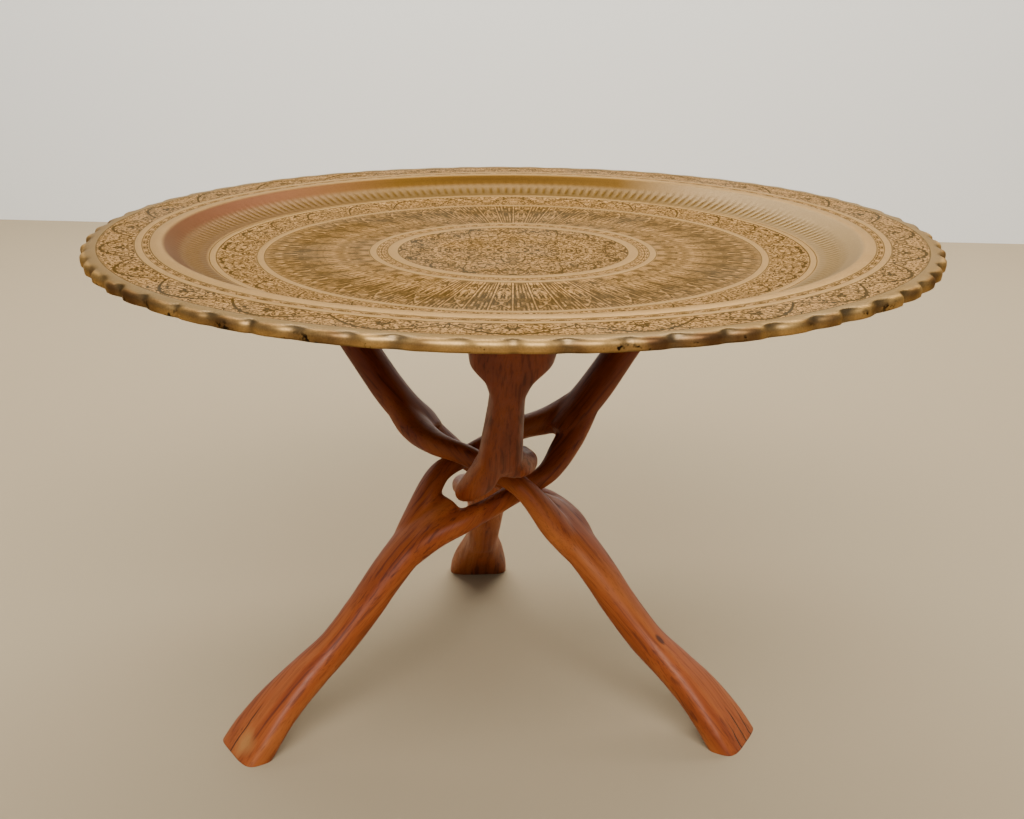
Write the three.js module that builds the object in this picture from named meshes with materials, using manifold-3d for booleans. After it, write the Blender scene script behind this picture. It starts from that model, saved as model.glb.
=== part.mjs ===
// Brass tray table: a round brass tray that lies loose on a folding tripod.
// The tripod is three carved wooden legs, linked like a chain: each leg splits at its
// waist into an upper and a lower strand, and the next leg passes between the two.
// Millimetres, +Z up. Origin: on the floor, under the centre of the tray.
import * as THREE from "three";
import { mergeVertices } from "three/addons/utils/BufferGeometryUtils.js";
import Module from "manifold-3d";

const wasm = await Module();
wasm.setup();

// ---- driving dimensions ----
const TRAY_RADIUS = 432;
const TABLE_HEIGHT = 517; // floor to the flat rim of the tray
const WELL_DEPTH = 21.8; // rim down to the flat floor of the tray
const SHEET = 1.6; // thickness of the tray's sheet
const EDGE_DROP = 10.5; // height of the turned-down, crimped edge
const CRIMPS = 62; // scallops around that edge
const CRIMP_DEPTH = 2.4; // how far each scallop swings in
const GAP = 0.3; // air between the tray and the arms that carry it

const WAIST_HEIGHT = 248; // the point that the three legs turn about when they fold
const STAND_TURN = 3.2; // degrees that the whole stand is turned about Z
const STAND_SHIFT = -27.5; // the feet stand this far off the tray's centre, along X
const STAND_LEAN = 0.03; // and the carved legs lean back towards it, mm per mm of height

const WOOD = { color: 0x8a3f1c, roughness: 0.45, metalness: 0 };
const BRASS = { color: 0x9a7440, roughness: 0.38, metalness: 1 };

// ---- the lines of one leg ----
// A leg is drawn in its own upright plane: r runs from the waist towards the arm's tip,
// s across the plank and z up from the waist, all as shares of the tray's radius. Each
// stop also gives the section there in mm: its width along s and its thickness. The
// section is a superellipse: 2 is an ellipse, and 4 is nearly a rounded rectangle.
function stop(r, s, z, width, thick, square = 2.4) {
  const at = new THREE.Vector3(r, s, z).multiplyScalar(TRAY_RADIUS);
  const section = new THREE.Vector3(width / 2, thick / 2, square);
  return { at, section };
}

const ARM = [
  stop(0.182, 0, 0.08, 44, 20),
  stop(0.218, 0, 0.104, 52, 26),
  stop(0.26, 0, 0.132, 46, 30),
  stop(0.31, 0, 0.178, 43, 32),
  stop(0.384, 0, 0.262, 38, 32, 2.6),
  stop(0.465, 0, 0.354, 34, 31, 2.8),
  stop(0.512, 0, 0.41, 46, 32, 3),
  stop(0.552, 0, 0.46, 76, 34, 3.2),
  stop(0.605, 0, 0.53, 82, 36, 3.6),
  stop(0.66, 0, 0.62, 78, 36, 4),
];
const LEG = [
  stop(-0.124, 0, -0.052, 34, 17),
  stop(-0.148, 0, -0.068, 52, 22),
  stop(-0.178, 0, -0.09, 62, 26),
  stop(-0.215, 0, -0.122, 58, 29),
  stop(-0.26, 0, -0.162, 49, 30),
  stop(-0.31, 0, -0.216, 45, 32),
  stop(-0.36, 0, -0.276, 41, 32, 2.6),
  stop(-0.44, 0, -0.36, 38, 32, 2.8),
  stop(-0.51, 0, -0.412, 46, 31, 3),
  stop(-0.59, 0, -0.476, 60, 29, 3.4),
  stop(-0.655, 0, -0.545, 72, 28, 4),
  stop(-0.7, 0, -0.605, 75, 28, 4.4),
];
const UPPER_STRAND = [
  stop(0.3, 0.012, 0.165, 22, 22),
  stop(0.21, 0.038, 0.1, 36, 28),
  stop(0.13, 0.067, 0.078, 29, 24),
  stop(0.05, 0.066, 0.062, 22, 22),
  stop(0, 0.065, 0.046, 22, 22),
  stop(-0.05, 0.066, 0.029, 22, 21),
  stop(-0.12, 0.067, 0, 26, 21),
  stop(-0.2, 0.038, -0.098, 36, 26),
  stop(-0.28, 0.012, -0.194, 22, 22),
];
const LOWER_STRAND = [
  stop(0.3, -0.012, 0.165, 22, 22),
  stop(0.2, -0.04, 0.06, 34, 26),
  stop(0.12, -0.068, -0.002, 26, 21),
  stop(0.05, -0.066, -0.03, 22, 21),
  stop(0, -0.065, -0.046, 22, 22),
  stop(-0.05, -0.066, -0.063, 22, 22),
  stop(-0.13, -0.067, -0.081, 29, 24),
  stop(-0.21, -0.038, -0.118, 36, 27),
  stop(-0.28, -0.012, -0.19, 22, 22),
];

// The upper face of the tray from its centre out: share of the radius, height over the rim.
const TRAY_FACE = [
  [0, -WELL_DEPTH],
  [0.6, -WELL_DEPTH],
  [0.714, -18.6],
  [0.755, -14.6],
  [0.788, -8],
  [0.815, 0],
  [0.832, 0.8],
  [0.846, 0],
  [0.985, 0],
  [0.997, -1.2],
  [1, -3.8],
  [1, -EDGE_DROP],
];

// ---- helpers ----
function solidOf(geometry) {
  geometry.deleteAttribute("normal");
  geometry.deleteAttribute("uv");
  const merged = mergeVertices(geometry, 1e-3);
  const mesh = new wasm.Mesh({
    numProp: 3,
    vertProperties: merged.attributes.position.array,
    triVerts: new Uint32Array(merged.index.array),
  });
  return new wasm.Manifold(mesh);
}

function geometryOf(solid) {
  const mesh = solid.getMesh();
  const geometry = new THREE.BufferGeometry();
  geometry.setAttribute("position", new THREE.BufferAttribute(mesh.vertProperties, 3));
  geometry.setIndex(new THREE.BufferAttribute(mesh.triVerts, 1));
  return geometry;
}

// A bar is a closed cylinder whose rings are laid along a curve through the stops.
function bar(stops, rings, sides) {
  const curve = (points) => new THREE.CatmullRomCurve3(points, false, "centripetal");
  const line = curve(stops.map((p) => p.at));
  const sections = curve(stops.map((p) => p.section));
  const plank = new THREE.Vector3(0, 1, 0);
  const geometry = new THREE.CylinderGeometry(1, 1, 1, sides, rings);
  const place = geometry.attributes.position;
  for (let i = 0; i < place.count; i += 1) {
    const u = THREE.MathUtils.clamp(0.5 - place.getY(i), 0, 1);
    const point = line.getPoint(u);
    const along = line.getTangent(u);
    const side = plank.clone().addScaledVector(along, -plank.dot(along)).normalize();
    const up = new THREE.Vector3().crossVectors(along, side);
    const { x: halfWidth, y: halfThick, z: square } = sections.getPoint(u);
    const x = place.getX(i);
    const y = place.getZ(i);
    const reach = Math.abs(x) ** square + Math.abs(y) ** square;
    if (reach > 1e-6) {
      const out = Math.hypot(x, y) * reach ** (-1 / square);
      point.addScaledVector(side, x * out * halfWidth);
      point.addScaledVector(up, y * out * halfThick);
    }
    place.setXYZ(i, point.x, point.y, point.z);
  }
  return solidOf(geometry);
}

function slab(low, high) {
  const box = new THREE.BoxGeometry(4 * TRAY_RADIUS, 4 * TRAY_RADIUS, high - low);
  box.translate(0, 0, (low + high) / 2);
  return solidOf(box);
}

// ---- the legs ----
// One leg is two bars joined by two strands, cut flat where it stands on the floor and
// where it carries the tray. The other two are the same leg turned a third of a circle.
function legSolid() {
  const seat = TABLE_HEIGHT - WELL_DEPTH - SHEET - GAP;
  return bar(ARM, 18, 12)
    .add(bar(LEG, 18, 12))
    .add(bar(UPPER_STRAND, 18, 10))
    .add(bar(LOWER_STRAND, 18, 10))
    .subtract(slab(-TRAY_RADIUS * 2, -WAIST_HEIGHT))
    .subtract(slab(seat - WAIST_HEIGHT, TRAY_RADIUS * 2));
}

function legMesh(name, solid, armDirection) {
  const geometry = geometryOf(solid);
  geometry.rotateZ(THREE.MathUtils.degToRad(armDirection + STAND_TURN));
  geometry.translate(0, 0, WAIST_HEIGHT);
  const lean = new THREE.Matrix4().makeShear(0, 0, 0, 0, STAND_LEAN, 0);
  geometry.applyMatrix4(lean);
  const mesh = new THREE.Mesh(geometry, new THREE.MeshStandardMaterial(WOOD));
  mesh.name = name;
  mesh.position.x = STAND_SHIFT;
  return mesh;
}

// ---- the tray ----
// A sheet of even thickness, spun round: out along the under face, back along the upper one.
// Its edge is then crimped into scallops.
function trayMesh() {
  const face = TRAY_FACE.map(([share, z]) => new THREE.Vector2(share * TRAY_RADIUS, z));
  const under = face.map((point, i) => {
    const before = face[Math.max(i - 1, 0)];
    const after = face[Math.min(i + 1, face.length - 1)];
    const run = after.clone().sub(before).normalize();
    return new THREE.Vector2(point.x + run.y * SHEET, point.y - run.x * SHEET);
  });
  under[0].x = 0;
  const geometry = new THREE.LatheGeometry([...under, ...face.reverse()], CRIMPS * 2);
  geometry.rotateX(Math.PI / 2);
  const place = geometry.attributes.position;
  for (let i = 0; i < place.count; i += 1) {
    const reach = Math.hypot(place.getX(i), place.getY(i));
    const angle = Math.atan2(place.getY(i), place.getX(i));
    const share = THREE.MathUtils.smoothstep(reach / TRAY_RADIUS, 0.98, 0.998);
    const swing = CRIMP_DEPTH * (0.5 - 0.5 * Math.cos(CRIMPS * angle)) * share;
    const scale = reach > 0 ? 1 - swing / reach : 1;
    place.setXYZ(i, place.getX(i) * scale, place.getY(i) * scale, place.getZ(i));
  }
  const mesh = new THREE.Mesh(geometry, new THREE.MeshStandardMaterial(BRASS));
  mesh.name = "tray";
  mesh.position.z = TABLE_HEIGHT;
  return mesh;
}

const leg = legSolid();
const table = new THREE.Group();
table.add(trayMesh());
table.add(legMesh("rear_leg", leg, -90)); // arm towards the front, foot at the rear
table.add(legMesh("left_leg", leg, 30)); // foot at the front left
table.add(legMesh("right_leg", leg, 150)); // foot at the front right

export default table;
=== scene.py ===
# %% [markdown]
# # A brass tray table on a folding tripod
#
# The real thing is four pieces. A wide brass tray, spun and hammered, lies loose on a
# stand of three carved wooden legs. Each leg splits at its waist into two strands, and
# the next leg passes between them, so the three hold each other without a pin.
#
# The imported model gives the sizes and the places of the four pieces. This script makes
# a finely shaped piece for each of them, gives it its finish, and lights it.

# %% Load the frame that everything is placed in
import math

import bmesh
import bpy
from mathutils import Matrix, Vector, noise


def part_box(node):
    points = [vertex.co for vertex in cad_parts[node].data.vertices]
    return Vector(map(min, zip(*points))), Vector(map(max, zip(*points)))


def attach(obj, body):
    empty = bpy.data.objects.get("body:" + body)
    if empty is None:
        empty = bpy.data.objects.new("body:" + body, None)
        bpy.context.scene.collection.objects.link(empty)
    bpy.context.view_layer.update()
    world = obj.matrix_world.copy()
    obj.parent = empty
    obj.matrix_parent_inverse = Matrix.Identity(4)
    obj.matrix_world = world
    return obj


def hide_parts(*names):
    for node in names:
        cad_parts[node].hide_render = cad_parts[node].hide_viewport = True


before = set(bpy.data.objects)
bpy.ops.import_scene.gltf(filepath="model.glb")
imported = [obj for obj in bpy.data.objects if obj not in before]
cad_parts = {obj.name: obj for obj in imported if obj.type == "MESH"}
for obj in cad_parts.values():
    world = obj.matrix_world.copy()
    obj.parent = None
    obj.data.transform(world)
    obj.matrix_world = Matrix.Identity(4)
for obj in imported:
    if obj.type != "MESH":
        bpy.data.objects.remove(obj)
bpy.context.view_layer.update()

# %% [markdown]
# ## Driving sizes
#
# The tray's node gives the radius and the height of the rim, and the rear leg's node
# gives the height of the seats. The legs are drawn as shares of the tray's radius, from
# the waist, where the three of them cross.

# %% Sizes, in metres
MM = 0.001
tray_low, tray_high = (Vector(corner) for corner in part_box("tray"))
TRAY_RADIUS = (tray_high.x - tray_low.x) / 2
CREST = 0.8 * MM  # the lip round the well stands this much over the rim
RIM_HEIGHT = tray_high.z - CREST
SEAT_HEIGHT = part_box("rear_leg")[1][2]
WAIST_HEIGHT = 248 * MM  # where the legs cross
# The tray lies loose, so the stand is a little askew under it.
STAND_TURN = math.radians(3.2)
STAND_SHIFT = -27.5 * MM
STAND_LEAN = 0.03  # sideways for each metre up
print(f"tray radius {TRAY_RADIUS:.4f}, rim {RIM_HEIGHT:.4f}, seat {SEAT_HEIGHT:.4f}")

# %% [markdown]
# ## The camera
#
# A viewer a metre and a half away, with the eye at 0.8 m, looks down at the table by 18
# degrees through a slightly long lens, so that the round tray shows as a flat ellipse.

# %% Camera
EYE = (0, -1.4822, 0.8073)
LOOK_DOWN, ROLL = 18.175, 0.404  # degrees
FOCAL_LENGTH, SENSOR_WIDTH = 50.98, 36  # mm

lens = bpy.data.cameras.new("view")
lens.lens = FOCAL_LENGTH
lens.sensor_width = SENSOR_WIDTH
viewer = bpy.data.objects.new("view", lens)
viewer.matrix_world = (
    Matrix.Translation(EYE)
    @ Matrix.Rotation(math.radians(90 - LOOK_DOWN), 4, "X")
    @ Matrix.Rotation(math.radians(ROLL), 4, "Z")
)
bpy.context.collection.objects.link(viewer)
bpy.context.scene.camera = viewer


# %% [markdown]
# ## Helpers for the finishes
#
# Colours are picked as they look on a screen, which is sRGB, but the renderer works
# with linear light, so one function turns a hex code into linear numbers. Another adds
# one node to a material, with its settings and its links. The rest are short steps that
# the brass and the wood are made of.

# %% Colour and node helpers
def paint(code):
    """An sRGB hex code as linear red, green, blue and a full alpha."""
    channels = [int(code[i:i + 2], 16) / 255 for i in (1, 3, 5)]
    linear = [c / 12.92 if c <= 0.04045 else ((c + 0.055) / 1.055) ** 2.4 for c in channels]
    return (*linear, 1)


def put(tree, kind, feeds=(), out=0, stops=(), **settings):
    """Add a node. feeds are sockets or values by number or name; out is the socket given back."""
    node = tree.nodes.new(kind)
    for name, value in settings.items():
        setattr(node, name, value)
    for name, value in feeds.items() if isinstance(feeds, dict) else enumerate(feeds):
        if isinstance(value, bpy.types.NodeSocket):
            tree.links.new(value, node.inputs[name])
        else:
            node.inputs[name].default_value = value
    if stops:
        ramp = node.color_ramp.elements
        while len(ramp) < len(stops):
            ramp.new(0)
        for element, (place, colour) in zip(ramp, stops):
            element.position, element.color = place, colour
    return node.outputs[out]


MATH, VECTOR = "ShaderNodeMath", "ShaderNodeVectorMath"
NOISE, CELLS, RAMP = "ShaderNodeTexNoise", "ShaderNodeTexVoronoi", "ShaderNodeValToRGB"
# A RANGE takes the value as 0, the limits it comes in by as 1 and 2, and those it leaves by
# as 3 and 4, which are 0 and 1 when they are left out. A MIX takes the share as 0, numbers
# as 2 and 3, and colours as 6 and 7.
RANGE, MIX = "ShaderNodeMapRange", "ShaderNodeMix"


def fresh_material(name):
    """A material with only a Principled shader in it, and its node tree and shader."""
    material = bpy.data.materials.new(name)
    material.use_nodes = True
    tree = material.node_tree
    return material, tree, tree.nodes["Principled BSDF"]


def blend(tree, share, first, second):
    """first where share is 0 and second where it is 1, for colours."""
    return put(tree, MIX, {0: share, 6: first, 7: second}, out=2, data_type="RGBA")


def between(tree, value, low, high, soft):
    """1 where value lies from low to high and 0 elsewhere, with edges 2 * soft wide."""
    edges = [
        put(tree, RANGE, {0: value, 1: edge - soft, 2: edge + soft},
            interpolation_type="SMOOTHSTEP")
        for edge in (low, high)
    ]
    return put(tree, MATH, edges, operation="SUBTRACT")


def dress(tree, shader, colour, rough, bump):
    """Link a finish's colour, roughness and bump to its shader."""
    tree.links.new(colour, shader.inputs["Base Color"])
    tree.links.new(rough, shader.inputs["Roughness"])
    tree.links.new(bump, shader.inputs["Normal"])


# %% [markdown]
# ## The tray
#
# The real tray is one brass sheet: the well was sunk, the rings were raised, and the
# edge was turned down and crimped all round with pliers. A spin of one profile gives
# all of it but the crimps, the gouges and the unevenness of hand work, and those are
# moves of the finished mesh that depend on the angle.
#
# The profile goes out along the upper face, down the edge and back along the under
# face, so that one spin gives a closed sheet.

# %% The tray's profile: share of the radius, and millimetres over the rim
RING = 0.35  # how far a plain ring stands out of the engraved ground, in mm
FLOOR_Z = -21.8  # the floor of the well
UPPER_FACE = [
    (0, FLOOR_Z), (0.14, FLOOR_Z), (0.273, FLOOR_Z), (0.2765, FLOOR_Z + RING),
    (0.3, FLOOR_Z + RING), (0.3035, FLOOR_Z), (0.323, FLOOR_Z), (0.3265, FLOOR_Z + RING),
    (0.3425, FLOOR_Z + RING), (0.346, FLOOR_Z), (0.46, FLOOR_Z), (0.587, FLOOR_Z),
    (0.5905, FLOOR_Z + RING), (0.6065, FLOOR_Z + 0.5), (0.61, FLOOR_Z + 0.3), (0.65, -20.6),
    (0.698, -19.3), (0.701, -18.7), (0.708, -18.4), (0.7145, -18.6), (0.718, -18.5),
    (0.73, -17.2), (0.742, -15.9), (0.755, -14.2), (0.767, -12.2), (0.779, -9.9),
    (0.79, -7.3), (0.802, -4), (0.8115, -1.2), (0.8165, 0), (0.823, 0.6), (0.832, 0.8),
    (0.841, 0.5), (0.8465, 0), (0.85, -0.3), (0.861, -0.3), (0.8645, 0), (0.872, 0.15),
    (0.8795, 0), (0.883, -0.3), (0.905, -0.3), (0.93, -0.3), (0.96, -0.3), (0.9635, 0),
    (0.975, 0.05), (0.985, -0.1), (0.992, -0.7), (0.9965, -1.7), (0.999, -3), (1, -4.6),
    (1, -6.5), (0.9992, -8.5), (0.9985, -10.5),
]
UNDER_FACE = [
    (0.9945, -10.4), (0.9955, -7), (0.995, -4.6), (0.99, -2.6), (0.98, -1.6), (0.9, -1.6),
    (0.84, -1.2), (0.825, -0.9), (0.817, -2.4), (0.795, -9), (0.76, -15.8), (0.72, -19.9),
    (0.69, -21), (0.62, -23), (0.4, -23.2), (0, -23.2),
]

# %% Spin the profile round
TURN_STEPS = 1296  # six to a gouge, so that each one comes out round


def new_piece(name, body, node, mesh_builder):
    """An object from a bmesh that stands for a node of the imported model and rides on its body."""
    mesh = bpy.data.meshes.new(name)
    mesh_builder.to_mesh(mesh)
    mesh_builder.free()
    piece = bpy.data.objects.new(name, mesh)
    bpy.context.collection.objects.link(piece)
    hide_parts(node)
    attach(piece, body)
    return piece


def spun_sheet():
    sheet = bmesh.new()
    outline = [
        sheet.verts.new((share * TRAY_RADIUS, 0, RIM_HEIGHT + z * MM))
        for share, z in UPPER_FACE + UNDER_FACE
    ]
    for first, second in zip(outline, outline[1:]):
        sheet.edges.new((first, second))
    bmesh.ops.spin(
        sheet, geom=sheet.verts[:] + sheet.edges[:], cent=(0, 0, 0), axis=(0, 0, 1),
        angle=2 * math.pi, steps=TURN_STEPS, use_merge=True,
    )
    bmesh.ops.remove_doubles(sheet, verts=sheet.verts, dist=1e-6)
    bmesh.ops.recalc_face_normals(sheet, faces=sheet.faces)
    return sheet


tray_mesh = spun_sheet()
print("spun tray:", len(tray_mesh.verts), "vertices,", len(tray_mesh.faces), "faces")

# %% [markdown]
# ### Crimps, gouges and hammering
#
# The crimps swing the turned-down edge in and out about sixty times. No two are
# alike, so a little noise shifts each one and changes its depth. Over the slope of
# the well runs a row of short gouges, each struck with a round-nosed punch. Last, the
# sheet is never quite flat, so slow noise moves it by a few tenths of a millimetre.

# %% Work the edge and the slope
CRIMPS, CRIMP_DEPTH = 62, 5.4 * MM
CRIMP_DIP = 1.0 * MM  # how far the pliers pull the edge down
CRIMP_SHARPNESS = 1.4  # above 1, the hollows are narrower than the bulges between them
CRIMPED = (0.978, 0.998)  # shares of the radius over which the crimps set in
GOUGES, GOUGE_DEPTH = 216, 0.9 * MM
GOUGE_SHARPNESS = 2.2
GOUGED_FROM, GOUGED_TO = (0.722, 0.745), (0.77, 0.788)  # where they set in and run out
UNEVENNESS = 0.35 * MM


def smooth_step(low, high, value):
    """0 below low, 1 above high, and a soft rise between them."""
    share = min(max((value - low) / (high - low), 0), 1)
    return share * share * (3 - 2 * share)


def worked_place(place):
    """Where the pliers, the punch and the hammer leave a point of the spun sheet."""
    reach = math.hypot(place.x, place.y)
    if reach < 1e-6:
        return place
    share, angle = reach / TRAY_RADIUS, math.atan2(place.y, place.x)
    round_place = Vector((math.cos(angle), math.sin(angle), 0))
    drift = noise.noise(round_place * 6 + Vector((7, 3, 0)))
    uneven = noise.noise(round_place * 26)
    wave = 0.5 - 0.5 * math.cos(CRIMPS * angle + 1.3 * drift + 0.9 * uneven)
    depth = CRIMP_DEPTH * (0.8 + 0.4 * min(max(drift + uneven, -0.5), 0.5))
    edge = smooth_step(*CRIMPED, share)
    inward = edge * depth * wave ** CRIMP_SHARPNESS
    flute = (0.5 + 0.5 * math.cos(GOUGES * angle)) ** GOUGE_SHARPNESS
    slope = smooth_step(*GOUGED_FROM, share) * (1 - smooth_step(*GOUGED_TO, share))
    drop = slope * GOUGE_DEPTH * flute
    drop += CRIMP_DIP * edge * wave
    slow = noise.noise(place * 9) + 0.4 * noise.noise(place * 31)
    # The slope of the well is left true, so that its gouges stay even.
    uneven_here = 1 - smooth_step(0.62, 0.72, share) * (share < 0.83)
    drop += UNEVENNESS * (slow + 1.2) * uneven_here
    outer = place * ((reach - inward) / reach)
    return Vector((outer.x, outer.y, place.z - drop))


for vertex in tray_mesh.verts:
    vertex.co = worked_place(vertex.co)
for face in tray_mesh.faces:
    face.smooth = True
tray_sheet = new_piece("tray_sheet", "tray", "tray", tray_mesh)
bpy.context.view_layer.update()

# %% [markdown]
# ## The engraved brass
#
# Cartridge brass, engraved and punched by hand, then left to tarnish: the cut ground
# has gone a dull grey-brown, while the ridges are rubbed to a pale gold. A metal takes
# its whole colour from its reflections, so that is metallic 1 with a coloured base.
#
# The ornament is in rings. In each ring a motif is repeated round the tray, every
# second time as its mirror image, which is how a scroll border is laid out. So the
# angle is folded into a wedge, and the stems and leaves are drawn in that wedge, in
# millimetres. The motif of the real one is finer than this: its lines are about half
# a millimetre wide, and they are drawn here at about one.

# %% Where each ring of ornament lies, and how its motif repeats
# Each: inner and outer share of the radius, mirrored pairs round the tray, how much the
# motif is squeezed along the radius, and how far its ground has gone grey.
ORNAMENT = [
    (0.0, 0.275, 8, 1.0, 0.8),
    (0.3025, 0.3245, 60, 1.7, 0.3),
    (0.345, 0.589, 72, 0.3, 0.55),
    (0.609, 0.7, 20, 1.0, 0.2),
    (0.8495, 0.862, 90, 1.6, 0.2),
    (0.8815, 0.963, 24, 1.0, 0.75),
]
PAIRS, SQUEEZE, GREYNESS = 2, 3, 4  # the last three columns
brass, tree, shader = fresh_material("tarnished_engraved_brass")
spot = put(tree, "ShaderNodeTexCoord", out="Object")
flat_spot = put(tree, VECTOR, [spot, (1, 1, 0)], operation="MULTIPLY")
reach = put(tree, VECTOR, [flat_spot], out="Value", operation="LENGTH")
share = put(tree, MATH, [reach, TRAY_RADIUS], operation="DIVIDE")
x = put(tree, "ShaderNodeSeparateXYZ", [spot], out="X")
y, z = x.node.outputs["Y"], x.node.outputs["Z"]
angle = put(tree, MATH, [y, x], operation="ARCTAN2")
turn = put(tree, MATH, [angle, 1 / (2 * math.pi), 0.5], operation="MULTIPLY_ADD")

# %% Choose the settings of the ring that a point lies in
masks = [between(tree, share, low, high, 0.0012) for low, high, *_ in ORNAMENT]
medallion, _, ray_ring, floral_ring, _, outer_ring = masks


def by_ring(column):
    """A number of ORNAMENT's rows, chosen by the ring that the point lies in."""
    total = 0.0
    for row in ORNAMENT:
        inside = between(tree, share, row[0] - 0.004, row[1] + 0.004, 0.0001)
        total = put(tree, MATH, [inside, row[column], total], operation="MULTIPLY_ADD")
    return total


engraved = medallion
for mask in masks[1:]:
    engraved = put(tree, MATH, [engraved, mask], operation="ADD")
pairs = by_ring(PAIRS)
squeeze = by_ring(SQUEEZE)
greyness = by_ring(GREYNESS)
folded = put(tree, MATH, [turn, pairs], operation="MULTIPLY")
folded = put(tree, MATH, [folded, 0.5], operation="PINGPONG")
arc = put(tree, MATH, [folded, pairs], operation="DIVIDE")
arc = put(tree, MATH, [arc, reach], operation="MULTIPLY")
arc_mm = put(tree, MATH, [arc, 2 * math.pi * 1000], operation="MULTIPLY")
reach_mm = put(tree, MATH, [reach, 1000], operation="MULTIPLY")
radial_mm = put(tree, MATH, [reach_mm, squeeze], operation="MULTIPLY")
motif = put(tree, "ShaderNodeCombineXYZ", [arc_mm, radial_mm, pairs])

# %% Leaves and stems
LEAF, STEM = 4.6, 6.5  # mm across a leaf, and between two turns of a stem
bend = put(tree, NOISE, {"Vector": motif, "Scale": 1 / 6, "Detail": 1}, out="Color")
bend = put(tree, VECTOR, [bend, (0.5, 0.5, 0.5)], operation="SUBTRACT")
bend = put(tree, VECTOR, {0: bend, "Scale": 6.0}, operation="SCALE")
bent = put(tree, VECTOR, [motif, bend], operation="ADD")
leaf_edge = put(tree, CELLS, {"Vector": bent, "Scale": 1 / LEAF}, feature="DISTANCE_TO_EDGE")
leaf_kind = put(tree, CELLS, {"Vector": bent, "Scale": 1 / LEAF}, out="Color")
leaf_heart = leaf_kind.node.outputs["Distance"]
leaf_shape = put(tree, RANGE, {0: leaf_edge, 1: 0.04, 2: 0.15}, interpolation_type="SMOOTHSTEP")
leaf_here = put(tree, RANGE, {0: leaf_kind, 1: 0.36, 2: 0.42})
vein = put(tree, MATH, [leaf_heart, 9.0], operation="MULTIPLY")
vein = put(tree, MATH, [vein], operation="SINE")
vein = put(tree, RANGE, {0: vein, 1: -1, 2: 0.2, 3: 0.5, 4: 1})
leaf = put(tree, MATH, [leaf_shape, leaf_here], operation="MULTIPLY")
leaf = put(tree, MATH, [leaf, vein], operation="MULTIPLY")
stem = put(tree, NOISE, {"Vector": motif, "Scale": 1 / (2 * STEM), "Detail": 1.5})
stem = put(tree, MATH, [stem, 9.0], operation="MULTIPLY")
stem = put(tree, MATH, [stem, 0.5], operation="PINGPONG")
stem = put(tree, MATH, [medallion, -0.07, stem], operation="MULTIPLY_ADD")
stem = put(tree, RANGE, {0: stem, 1: 0.27, 2: 0.4}, interpolation_type="SMOOTHSTEP")
relief = put(tree, MATH, [leaf, stem], operation="MAXIMUM")

# %% [markdown]
# ### Rays, cartouches and outlines
#
# Between the double ring and the floral ring the ornament stands in narrow panels,
# like rays: plain hatched ones and figured ones by turns, with a raised line between
# each two. The outer and the floral rings carry cartouches: a wavy line that touches
# both edges of the ring. A chased line runs along both sides of every plain ring.

# %% Rays between the panels
PANELS = 72
HATCHES = 5 * PANELS
panel = put(tree, MATH, [turn, PANELS], operation="MULTIPLY")
panel = put(tree, MATH, [panel, 0.5], operation="PINGPONG")
panel = put(tree, MATH, [panel, reach_mm], operation="MULTIPLY")
panel_mm = put(tree, MATH, [panel, 2 * math.pi / PANELS], operation="MULTIPLY")
ray = put(tree, RANGE, {0: panel_mm, 1: 0.9, 2: 0.4})
ray_gap = between(tree, panel_mm, 1.0, 1.8, 0.2)
hatch = put(tree, MATH, [turn, HATCHES * 2 * math.pi], operation="MULTIPLY")
hatch = put(tree, MATH, [hatch], operation="SINE")
hatch = put(tree, RANGE, {0: hatch, 1: -0.5, 2: 0.5}, interpolation_type="SMOOTHSTEP")
broken = put(tree, NOISE, {"Vector": motif, "Scale": 1 / 5})
broken = put(tree, RANGE, {0: broken, 1: 0.42, 2: 0.56})
hatch = put(tree, MATH, [hatch, broken], operation="MULTIPLY")
figured = put(tree, MATH, [turn, PANELS / 2], operation="MULTIPLY")
figured = put(tree, MATH, [figured], operation="FRACT")
figured = put(tree, MATH, [figured, 0.5], operation="GREATER_THAN")
figured = put(tree, MATH, [figured, 0.55, 0.2], operation="MULTIPLY_ADD")
panel_relief = put(tree, MIX, {0: figured, 2: hatch, 3: relief})
panel_relief = put(tree, MATH, [panel_relief, ray], operation="MAXIMUM")
relief = put(tree, MIX, {0: ray_ring, 2: relief, 3: panel_relief})
ray_gap = put(tree, MATH, [ray_gap, ray_ring], operation="MULTIPLY")


# %% Cartouche lines and the chased lines beside the plain rings
def cartouche(mask, low, high, count):
    """A thin line that swings between the two edges of a ring, count times round the tray."""
    swing = put(tree, MATH, [turn, count * 2 * math.pi], operation="MULTIPLY")
    swing = put(tree, MATH, [swing], operation="COSINE")
    swing = put(tree, MATH, [swing], operation="ABSOLUTE")
    line = put(tree, MATH, [swing, (high - low) * 0.8, low + (high - low) * 0.1],
               operation="MULTIPLY_ADD")
    off = put(tree, MATH, [share, line], operation="SUBTRACT")
    off = put(tree, MATH, [off], operation="ABSOLUTE")
    near = put(tree, RANGE, {0: off, 1: 0.0045, 2: 0.0025})
    return put(tree, MATH, [near, mask], operation="MULTIPLY")


CARTOUCHES = (
    (outer_ring, 0.8815, 0.963, 12), (floral_ring, 0.609, 0.7, 14),
    (medallion, 0.18, 0.27, 8), (medallion, 0.06, 0.15, 4),
)
CHASED_LINES = (
    0.2755, 0.301, 0.326, 0.3435, 0.59, 0.6075, 0.7, 0.716, 0.8475, 0.8635, 0.8805, 0.9635
)
groove = ray_gap
for mask, low, high, count in CARTOUCHES:
    line = cartouche(mask, low, high, count)
    groove = put(tree, MATH, [groove, line], operation="MAXIMUM")
for edge in CHASED_LINES:
    line = between(tree, share, edge - 0.0012, edge + 0.0012, 0.0008)
    groove = put(tree, MATH, [groove, line], operation="MAXIMUM")
outline = put(tree, RANGE, {0: leaf_edge, 1: 0.1, 2: 0.03})
outline_share = put(tree, MATH, [medallion, 0.5, 0.35], operation="MULTIPLY_ADD")
outline = put(tree, MATH, [outline, outline_share], operation="MULTIPLY")
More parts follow.
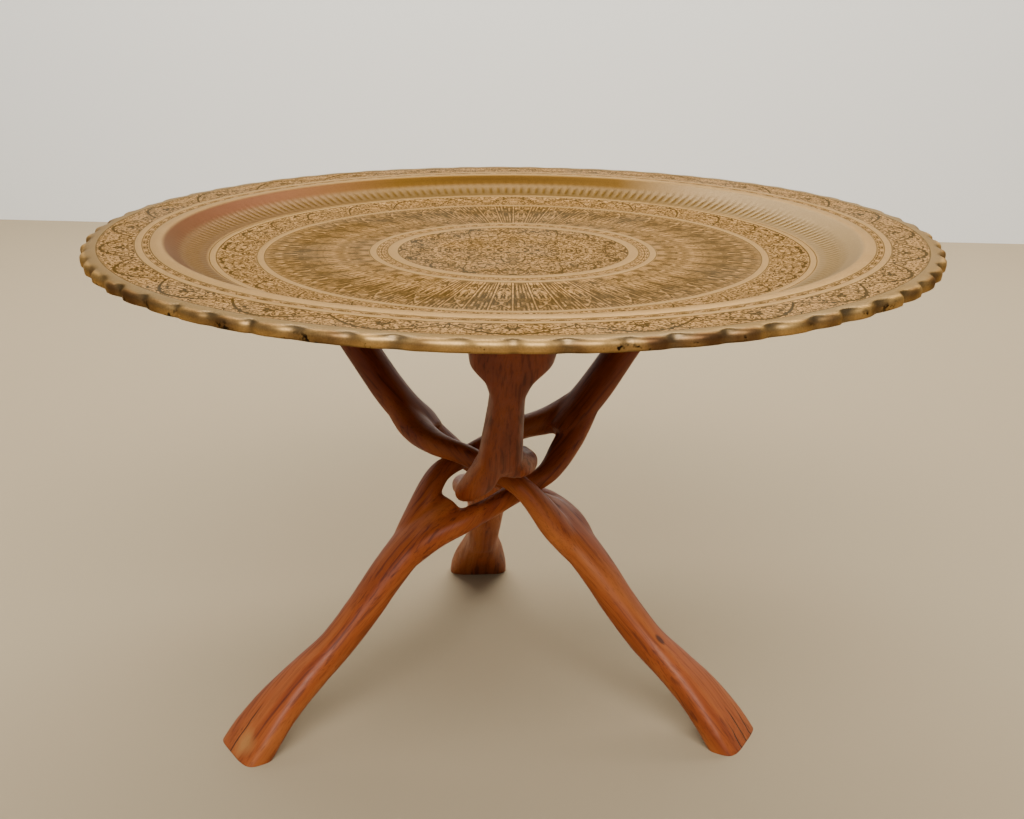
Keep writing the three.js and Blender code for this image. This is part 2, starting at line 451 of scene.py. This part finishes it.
outline = put(tree, MATH, [outline, engraved], operation="MULTIPLY")
groove = put(tree, MATH, [groove, outline], operation="MAXIMUM")
raised = put(tree, MATH, [relief, engraved], operation="MULTIPLY")
plain = put(tree, MATH, [1.0, engraved], operation="SUBTRACT")
raised = put(tree, MATH, [raised, plain], operation="ADD")
cut = put(tree, MATH, [1.0, groove], operation="SUBTRACT")
height = put(tree, MATH, [raised, cut], operation="MULTIPLY")

# %% [markdown]
# ### Tarnish, wear and painted light
#
# The tarnish is not even. The cut ground is brown and has gone grey in patches, most of
# all in the medallion and the outer ring, and it is greyer towards the right as well. The
# slope of the well carries a painted reflection: coppery at the left, gold in the middle
# and pale at the right. Its band of gouges is dulled, and each gouge is darkened with
# painted shade. The turned-down edge is a satin amber with browner patches, and has black
# specks low down, where polish never reaches.

# %% Colours of the tray
slow = put(tree, NOISE, {"Vector": spot, "Scale": 9.0, "Detail": 3, "Roughness": 0.6})
blotch = put(tree, NOISE, {"Vector": spot, "Scale": 38.0, "Detail": 4, "Roughness": 0.65})
grit = put(tree, NOISE, {"Vector": spot, "Scale": 650.0, "Detail": 2})
grey_here = put(tree, RANGE, {0: slow, 1: 0.42, 2: 0.6})
# the ground is made greyer towards the right
rightward = put(tree, RANGE, {0: x, 1: 0.0, 2: 0.25, 3: 0, 4: 0.6})
grey_here = put(tree, MATH, [grey_here, rightward], operation="MAXIMUM")
grey_here = put(tree, MATH, [grey_here, greyness], operation="MULTIPLY")
ground = blend(tree, grey_here, paint("#463318"), paint("#403C35"))
motif_colour = blend(tree, blotch, paint("#9A7141"), paint("#B79264"))
ring_colour = blend(tree, blotch, paint("#96754A"), paint("#A6885E"))
# painted reflection on the slope of the well: coppery at the left, gold in the middle, pale at the
# right
slope_painted_reflection = put(tree, RAMP, [put(tree, RANGE, {0: x, 1: -0.36, 2: 0.36})], stops=[
    (0.0, paint("#59382F")), (0.3, paint("#4A3314")), (0.68, paint("#4A3416")),
    (1.0, paint("#998262")),
])
wall_zone = between(tree, share, 0.72, 0.818, 0.006)
edge_zone = between(tree, share, 0.963, 0.99, 0.003)
flange_zone = put(tree, RANGE, {0: share, 1: 0.985, 2: 0.994})
colour = blend(tree, height, ground, motif_colour)
colour = blend(tree, plain, colour, ring_colour)
colour = blend(tree, wall_zone, colour, slope_painted_reflection)
gouged_zone = between(tree, share, 0.722, 0.782, 0.008)
gouged_share = put(tree, MATH, [gouged_zone, 0.5], operation="MULTIPLY")
colour = blend(tree, gouged_share, colour, paint("#6A573E"))
# painted shade in the gouges: each one is darkened towards the colour of the cut ground
struck = put(tree, MATH, [angle, GOUGES], operation="MULTIPLY")
struck = put(tree, MATH, [struck], operation="COSINE")
struck = put(tree, RANGE, {0: struck, 1: 0.1, 2: 0.8})
struck_zone = between(tree, share, 0.738, 0.768, 0.006)
struck = put(tree, MATH, [struck, struck_zone], operation="MULTIPLY")
struck = put(tree, MATH, [struck, 0.8], operation="MULTIPLY")
colour = blend(tree, struck, colour, ground)
edge_colour = blend(tree, slow, paint("#785D38"), paint("#827056"))
colour = blend(tree, edge_zone, colour, edge_colour)
patch = put(tree, NOISE, {"Vector": spot, "Scale": 16.0, "Detail": 2, "Roughness": 0.5})
patch = put(tree, RANGE, {0: patch, 1: 0.38, 2: 0.6}, interpolation_type="SMOOTHSTEP")
amber = blend(tree, patch, paint("#6E4F33"), paint("#BC965C"))
colour = blend(tree, flange_zone, colour, amber)
cut_line = put(tree, MATH, [groove, 0.7], operation="MULTIPLY")
colour = blend(tree, cut_line, colour, ground)
speck = put(tree, NOISE, {"Vector": spot, "Scale": 70.0, "Detail": 3, "Roughness": 0.7})
speck = put(tree, RANGE, {0: speck, 1: 0.58, 2: 0.65})
low_edge = put(tree, RANGE, {0: z, 1: RIM_HEIGHT - 2 * MM, 2: RIM_HEIGHT - 7 * MM})
speck = put(tree, MATH, [speck, low_edge], operation="MULTIPLY")
speck = put(tree, MATH, [speck, flange_zone], operation="MULTIPLY")
colour = blend(tree, speck, colour, paint("#2A2018"))
dirt = put(tree, RANGE, {0: grit, 1: 0.35, 2: 0.65, 3: 0.88, 4: 1.07})
colour = put(tree, VECTOR, {0: colour, "Scale": dirt}, operation="SCALE")

# %% Gloss, bump and the shader
rough = put(tree, RANGE, {0: height, 1: 0, 2: 1, 3: 0.62, 4: 0.4})
polish = put(tree, MATH, [flange_zone, 0.12, rough], operation="MULTIPLY_ADD")
bump = put(tree, "ShaderNodeBump", {"Height": height, "Distance": 0.35 * MM, "Strength": 0.7})
dress(tree, shader, colour, polish, bump)
shader.inputs["Metallic"].default_value = 1.0
shader.inputs["Specular Tint"].default_value = paint("#D3C5B2")
tray_sheet.data.materials.append(brass)
print("brass:", len(tree.nodes), "nodes")

# %% [markdown]
# ## The carved legs
#
# Each leg is sawn and carved from one plank of a reddish hardwood. A person would saw
# its outline, split the waist into an upper and a lower strand, and round it all with
# a knife and a rasp. Here a leg is four bars laid through a few stops: the arm, the
# lower leg and the two strands. Rings of points are bridged into bars, and a voxel
# remesh fuses the bars so that the forks come out as smooth as carved ones.

# %% Stops along one leg
# r runs from the waist towards the arm's tip, s across the plank and z up, as shares of
# the tray's radius; then the width and thickness in mm, and how square the section is.
ARM = [
    (0.182, 0, 0.08, 44, 20, 2.4), (0.218, 0, 0.104, 52, 26, 2.4), (0.26, 0, 0.132, 46, 30, 2.4),
    (0.31, 0, 0.178, 43, 32, 2.4), (0.384, 0, 0.262, 38, 32, 2.6), (0.465, 0, 0.354, 34, 31, 2.8),
    (0.512, 0, 0.41, 46, 32, 3), (0.552, 0, 0.46, 76, 34, 3.2), (0.605, 0, 0.53, 82, 36, 3.6),
    (0.66, 0, 0.62, 78, 36, 4),
]
LEG = [
    (-0.124, 0, -0.052, 34, 17, 2.4), (-0.148, 0, -0.068, 52, 22, 2.4),
    (-0.178, 0, -0.09, 62, 26, 2.4), (-0.215, 0, -0.122, 58, 29, 2.4),
    (-0.26, 0, -0.162, 49, 30, 2.4), (-0.31, 0, -0.216, 45, 32, 2.4),
    (-0.36, 0, -0.276, 41, 32, 2.6), (-0.44, 0, -0.36, 38, 32, 2.8),
    (-0.51, 0, -0.412, 46, 31, 3), (-0.59, 0, -0.476, 60, 29, 3.4),
    (-0.655, 0, -0.545, 72, 28, 4), (-0.7, 0, -0.605, 75, 28, 4.4),
]
UPPER_STRAND = [
    (0.3, 0.012, 0.165, 22, 22, 2.4), (0.21, 0.038, 0.1, 36, 28, 2.4),
    (0.13, 0.067, 0.078, 29, 24, 2.4), (0.05, 0.066, 0.062, 22, 22, 2.4),
    (0, 0.065, 0.046, 22, 22, 2.4), (-0.05, 0.066, 0.029, 22, 21, 2.4),
    (-0.12, 0.067, 0, 26, 21, 2.4), (-0.2, 0.038, -0.098, 36, 26, 2.4),
    (-0.28, 0.012, -0.194, 22, 22, 2.4),
]
LOWER_STRAND = [
    (0.3, -0.012, 0.165, 22, 22, 2.4), (0.2, -0.04, 0.06, 34, 26, 2.4),
    (0.12, -0.068, -0.002, 26, 21, 2.4), (0.05, -0.066, -0.03, 22, 21, 2.4),
    (0, -0.065, -0.046, 22, 22, 2.4), (-0.05, -0.066, -0.063, 22, 22, 2.4),
    (-0.13, -0.067, -0.081, 29, 24, 2.4), (-0.21, -0.038, -0.118, 36, 27, 2.4),
    (-0.28, -0.012, -0.19, 22, 22, 2.4),
]


# %% A smooth path through the stops
def through(points, along):
    """A point on a centripetal Catmull-Rom curve through points; along runs from 0 to 1."""
    points = [2 * points[0] - points[1], *points, 2 * points[-1] - points[-2]]
    spot = along * (len(points) - 3)
    first = min(int(spot), len(points) - 4)
    a, b, c, d = points[first:first + 4]
    step_ab, step_bc, step_cd = (max((q - p).length, 1e-9) ** 0.5 for p, q in ((a, b), (b, c), (c, d)))
    leave = ((b - a) / step_ab - (c - a) / (step_ab + step_bc)) * step_bc + (c - b)
    arrive = ((d - c) / step_cd - (d - b) / (step_bc + step_cd)) * step_bc + (c - b)
    t = spot - first
    return (
        (2 * t**3 - 3 * t**2 + 1) * b + (t**3 - 2 * t**2 + t) * leave
        + (3 * t**2 - 2 * t**3) * c + (t**3 - t**2) * arrive
    )


# %% Lay the rings of one bar and bridge them
RINGS, SIDES = 64, 28


def add_bar(leg, stops):
    """Rings of a rounded section, bridged along the stops and closed at both ends."""
    line = [Vector(stop[:3]) * TRAY_RADIUS for stop in stops]
    sizes = [Vector((stop[3] * MM / 2, stop[4] * MM / 2, stop[5] * MM)) for stop in stops]
    plank = Vector((0, 1, 0))
    loops = []
    for ring_number in range(RINGS + 1):
        along = ring_number / RINGS
        middle = through(line, along)
        ahead = (through(line, min(along + 1e-3, 1)) - through(line, max(along - 1e-3, 0))).normalized()
        side = (plank - ahead * plank.dot(ahead)).normalized()
        upward = ahead.cross(side)
        half_width, half_thick, square = through(sizes, along)
        square /= MM
        ring = bmesh.ops.create_circle(leg, cap_ends=False, segments=SIDES, radius=1)["verts"]
        for vertex in ring:
            u, v = vertex.co.x, vertex.co.y
            out = (abs(u) ** square + abs(v) ** square) ** (-1 / square)
            vertex.co = middle + side * (u * out * half_width) + upward * (v * out * half_thick)
        loop = list({edge for vertex in ring for edge in vertex.link_edges})
        loops.append(loop)
        if ring_number in (0, RINGS):  # the two ends are closed
            bmesh.ops.contextual_create(leg, geom=loop)
    for first, second in zip(loops, loops[1:]):
        bmesh.ops.bridge_loops(leg, edges=first + second)


def leg_blank():
    """The four bars of a leg, closed one by one and lying through each other."""
    leg = bmesh.new()
    for stops in (ARM, LEG, UPPER_STRAND, LOWER_STRAND):
        bar = bmesh.new()
        add_bar(bar, stops)
        bmesh.ops.recalc_face_normals(bar, faces=bar.faces)
        part = bpy.data.meshes.new("bar")
        bar.to_mesh(part)
        bar.free()
        leg.from_mesh(part)
        bpy.data.meshes.remove(part)
    return leg


blank = leg_blank()
print("leg blank:", len(blank.verts), "vertices")

# %% [markdown]
# ### Fuse, carve and cut
#
# A voxel remesh makes one skin of the four bars. Smoothing then takes the steps of the
# voxels out, and slow noise along the surface leaves it as uneven as a rasp does. The
# leg is cut level where it stands and where it carries the tray.

# %% From the blank to three carved legs
VOXEL = 2.2 * MM
SMOOTHINGS = 3


def fused(mesh_builder):
    """One smooth skin round everything in a bmesh, as a new bmesh."""
    mesh = bpy.data.meshes.new("leg_blank")
    mesh_builder.to_mesh(mesh)
    mesh_builder.free()
    whole = bpy.data.objects.new("leg_blank", mesh)
    bpy.context.collection.objects.link(whole)
    skin = whole.modifiers.new("skin", "REMESH")
    skin.mode = "VOXEL"
    skin.voxel_size = VOXEL
    evaluated = whole.evaluated_get(bpy.context.evaluated_depsgraph_get())
    result = bmesh.new()
    result.from_mesh(evaluated.to_mesh())
    bpy.data.objects.remove(whole)
    bpy.data.meshes.remove(mesh)
    for _ in range(SMOOTHINGS):
        bmesh.ops.smooth_vert(
            result, verts=result.verts, factor=0.5, use_axis_x=True, use_axis_y=True, use_axis_z=True
        )
    return result


fused_leg = fused(blank)
print("fused leg:", len(fused_leg.verts), "vertices")

# %% Place a leg, carve it and cut it level
LEAN = Matrix(((1, 0, STAND_LEAN, 0), (0, 1, 0, 0), (0, 0, 1, 0), (0, 0, 0, 1)))
GRAIN_SLOPE = math.radians(42)  # the plank's grain runs from the foot up to the arm's tip
RASP_DEPTH = 0.3 * MM


def carved_leg(name, node, arm_direction, plank_number):
    """A leg from the fused blank, with tool marks and a plank of its own, turned and cut level."""
    leg = fused_leg.copy()
    plank = leg.verts.layers.float_vector.new("plank")
    leg.normal_update()
    for vertex in leg.verts:
        rough = noise.noise(vertex.co * 26 + Vector((plank_number, 0, 0)))
        rough += 0.4 * noise.noise(vertex.co * 70 + Vector((0, plank_number, 0)))
        vertex.co += vertex.normal * (RASP_DEPTH * rough)
    for vertex in leg.verts:
        r, s, z = vertex.co
        along = r * math.cos(GRAIN_SLOPE) + z * math.sin(GRAIN_SLOPE)
        across = z * math.cos(GRAIN_SLOPE) - r * math.sin(GRAIN_SLOPE)
        vertex[plank] = Vector((along + plank_number, s, across))
    stand = (
        Matrix.Translation((STAND_SHIFT, 0, 0)) @ LEAN @ Matrix.Translation((0, 0, WAIST_HEIGHT))
        @ Matrix.Rotation(math.radians(arm_direction) + STAND_TURN, 4, "Z")
    )
    bmesh.ops.transform(leg, matrix=stand, verts=leg.verts)
    for height, outward in ((0, -1), (SEAT_HEIGHT, 1)):
        cut_line = bmesh.ops.bisect_plane(
            leg, geom=leg.verts[:] + leg.edges[:] + leg.faces[:], dist=1e-7,
            plane_co=(0, 0, height), plane_no=(0, 0, outward), clear_outer=True,
        )["geom_cut"]
        rim = [piece for piece in cut_line if isinstance(piece, bmesh.types.BMEdge)]
        bmesh.ops.holes_fill(leg, edges=rim, sides=0)
    bmesh.ops.recalc_face_normals(leg, faces=leg.faces)
    for face in leg.faces:
        face.smooth = abs(face.normal.z) < 0.999
    return new_piece(name, node, node, leg)


legs = [
    carved_leg("carved_rear_leg", "rear_leg", -90, 1.0),
    carved_leg("carved_left_leg", "left_leg", 30, 2.0),
    carved_leg("carved_right_leg", "right_leg", 150, 3.0),
]
fused_leg.free()
for leg in legs:
    print(leg.name, len(leg.data.polygons), "faces")

# %% [markdown]
# ## The oiled hardwood
#
# A reddish tropical hardwood with fine dark purple-brown streaks, rasped, sanded and oiled:
# the oil deepens the colour and leaves a soft gloss. The grain runs along the plank,
# from the foot to the arm's tip. Every leg carries its own plank coordinates, so the
# streaks follow it round its bends as they do in solid wood.

# %% Wood
wood, tree, shader = fresh_material("oiled_red_hardwood")
plank = put(tree, "ShaderNodeAttribute", out="Vector", attribute_name="plank")
drift = put(tree, NOISE, {"Vector": plank, "Scale": 9.0, "Detail": 2}, out="Color")
drift = put(tree, VECTOR, [drift, (0.5, 0.5, 0.5)], operation="SUBTRACT")
drift = put(tree, VECTOR, [drift, (0.0, 0.012, 0.012)], operation="MULTIPLY")
grain = put(tree, VECTOR, [plank, drift], operation="ADD")
broad = put(tree, VECTOR, [grain, (4, 45, 45)], operation="MULTIPLY")
ring = put(tree, VECTOR, [grain, (2.2, 330, 330)], operation="MULTIPLY")
pore = put(tree, VECTOR, [grain, (45, 1100, 1100)], operation="MULTIPLY")
tone = put(tree, NOISE, {"Vector": broad, "Scale": 1.0, "Detail": 2, "Roughness": 0.5})
streak = put(tree, NOISE, {"Vector": ring, "Scale": 1.0, "Detail": 2, "Roughness": 0.5})
pores = put(tree, NOISE, {"Vector": pore, "Scale": 1.0, "Detail": 2})
warm = put(tree, RAMP, [tone], stops=[
    (0.3, paint("#8C3D19")), (0.5, paint("#A85422")), (0.7, paint("#BC6A31")),
])
figure = put(tree, RANGE, {0: tone, 1: 0.6, 2: 0.42, 3: 0.2, 4: 1.0})
dark_share = put(tree, RANGE, {0: streak, 1: 0.52, 2: 0.64, 3: 0, 4: 0.62})
dark_share = put(tree, MATH, [dark_share, figure], operation="MULTIPLY")
colour = blend(tree, dark_share, warm, paint("#4E1D16"))
pore_share = put(tree, RANGE, {0: pores, 1: 0.55, 2: 0.7, 3: 0, 4: 0.4})
colour = blend(tree, pore_share, colour, paint("#4A1D10"))
along = put(tree, "ShaderNodeSeparateXYZ", [plank], out="X")
aside = along.node.outputs["Y"]
wander = put(tree, NOISE, {"Vector": plank, "Scale": 60.0, "Detail": 1})
wander = put(tree, MATH, [wander, 0.005, -0.0025], operation="MULTIPLY_ADD")
aside = put(tree, MATH, [aside, wander], operation="ADD")

# %% [markdown]
# ### Cracks, wear and a knot
#
# End grain dries first, so the feet have split along the grain for a few centimetres.
# One foot has been knocked until its oil and its red are gone, and one leg has a small
# dark knot. All of them have their places in plank coordinates, like the streaks.

# %% Drying cracks in the feet, a worn foot and a knot
# Each crack: where its upper end lies along the grain, and how far off the middle of the
# plank it lies, in metres. Along the grain, 1, 2 and 3 are the waists of the rear, the left
# and the right leg, and the feet lie below them.
CRACKS = ((2.645, -0.016), (2.652, -0.001), (2.641, 0.013), (1.667, 0.004), (0.642, -0.009))
WORN_SPOT, KNOT_SPOT = (1.622, -0.014, 0), (2.745, 0.006, 0)


def off_spot(spot, stretch):
    """How far a point of the plank is from a spot, with each direction stretched or left out."""
    off = put(tree, VECTOR, [plank, spot], operation="SUBTRACT")
    off = put(tree, VECTOR, [off, stretch], operation="MULTIPLY")
    return put(tree, VECTOR, [off], out="Value", operation="LENGTH")


crack = 0.0
for end, side in CRACKS:
    off = put(tree, MATH, [aside, side], operation="SUBTRACT")
    off = put(tree, MATH, [off], operation="ABSOLUTE")
    line = put(tree, RANGE, {0: off, 1: 0.0011, 2: 0.0005})
    lower = put(tree, RANGE, {0: along, 1: end, 2: end - 0.02})
    upper = put(tree, MATH, [along, end - 0.12], operation="GREATER_THAN")
    line = put(tree, MATH, [line, lower], operation="MULTIPLY")
    line = put(tree, MATH, [line, upper], operation="MULTIPLY")
    crack = put(tree, MATH, [line, crack], operation="MAXIMUM")
worn = off_spot(WORN_SPOT, (1, 1, 0))
worn = put(tree, MATH, [tone, -0.03, worn], operation="MULTIPLY_ADD")
worn = put(tree, RANGE, {0: worn, 1: 0.0, 2: -0.012, 3: 0, 4: 0.55})
knot = off_spot(KNOT_SPOT, (0.5, 1, 0))
knot = put(tree, RANGE, {0: knot, 1: 0.0042, 2: 0.0024, 3: 0, 4: 0.8})
colour = blend(tree, worn, colour, paint("#C28F52"))
colour = blend(tree, knot, colour, paint("#3A1610"))
colour = blend(tree, crack, colour, paint("#1C0C07"))

# %% [markdown]
# ### Painted shade over the height of the stand
#
# The arms look deeper and browner than the shins, and the feet a little duller. Soft
# light alone doesn't give that much difference, so a ramp over the height paints it in:
# painted shade on the arms under the tray, and a little on the feet. A crack is sunk in
# the bump as well as dark, and the oil makes the gloss a soft one.

# %% Painted shade over the height, gloss and bump
stand_spot = put(tree, "ShaderNodeTexCoord", out="Object")
height_up = put(tree, "ShaderNodeSeparateXYZ", [stand_spot], out="Z")
# painted shade: the arms under the tray are darker and browner, and the feet a little darker
painted_shade = put(tree, RAMP, [put(tree, RANGE, {0: height_up, 1: 0.0, 2: 0.5})], stops=[
    (0.0, paint("#DDDCD6")), (0.2, paint("#E8E4DC")),
    (0.4, paint("#FFFFFF")), (0.7, paint("#B79C82")),
])
colour = put(tree, VECTOR, [colour, painted_shade], operation="MULTIPLY")
rough = put(tree, RANGE, {0: streak, 1: 0.3, 2: 0.7, 3: 0.42, 4: 0.55})
relief = put(tree, MATH, [crack, -6.0, pores], operation="MULTIPLY_ADD")
bump = put(tree, "ShaderNodeBump", {"Height": relief, "Distance": 0.12 * MM, "Strength": 0.35})
dress(tree, shader, colour, rough, bump)
shader.inputs["Specular IOR Level"].default_value = 0.32
for leg in legs:
    leg.data.materials.append(wood)
print("wood:", len(tree.nodes), "nodes")

# %% [markdown]
# ## Floor, wall and light
#
# A plain pale floor and an off-white wall some way behind it, as in a studio with a
# white ceiling. Of the two wide soft lights, one hangs high up near the wall and faces
# it, so that the wall is bright and the tray mirrors it. The other is in front, above
# the viewer, and reaches the legs and the near side of the edge.

# %% Stage
def flat_stage(name, centre, size, turn, colour):
    """A matt square sheet that is part of the setting and not of the object."""
    sheet = bmesh.new()
    bmesh.ops.create_grid(sheet, x_segments=1, y_segments=1, size=size)
    bmesh.ops.transform(sheet, matrix=Matrix.Translation(centre) @ turn, verts=sheet.verts)
    mesh = bpy.data.meshes.new(name)
    sheet.to_mesh(mesh)
    sheet.free()
    piece = bpy.data.objects.new(name, mesh)
    bpy.context.collection.objects.link(piece)
    material, tree, shader = fresh_material(name + "_paint")
    shader.inputs["Base Color"].default_value = paint(colour)
    shader.inputs["Roughness"].default_value = 0.95
    shader.inputs["Specular IOR Level"].default_value = 0.1
    piece.data.materials.append(material)


STAGE_SIZE = 8
WALL_PLACE = (0, 2.6, 0)
wall_turn = Matrix.Rotation(math.radians(-5), 4, "Z") @ Matrix.Rotation(math.radians(90), 4, "X")
flat_stage("floor", (0, 0, 0), STAGE_SIZE, Matrix.Identity(4), "#A29277")
flat_stage("wall", WALL_PLACE, STAGE_SIZE, wall_turn, "#F8F8F4")


# %% Light
def soft_light(name, place, target, size, power, colour):
    """A rectangular light of a size in metres and a power in watts, turned to its target."""
    lamp = bpy.data.lights.new(name, "AREA")
    lamp.shape = "RECTANGLE"
    lamp.size, lamp.size_y = size
    lamp.energy = power
    lamp.color = paint(colour)[:3]
    light = bpy.data.objects.new(name, lamp)
    light.location = place
    light.rotation_euler = (Vector(target) - Vector(place)).to_track_quat("-Z", "Y").to_euler()
    bpy.context.collection.objects.link(light)


soft_light(
    "rear_light", place=(0.3, 1.7, 3.0), target=(0.1, 2.5, 0.8), size=(4.4, 1.2),
    power=190, colour="#FFFDFA",
)
soft_light(
    "front_light", place=(0.1, -2.4, 2.7), target=(0, -0.2, 0.2), size=(2.8, 1.8),
    power=162, colour="#FFFDF8",
)
world = bpy.data.worlds.new("studio")
world.use_nodes = True
world.node_tree.nodes["Background"].inputs["Color"].default_value = paint("#F4F2EE")
world.node_tree.nodes["Background"].inputs["Strength"].default_value = 0.32
bpy.context.scene.world = world
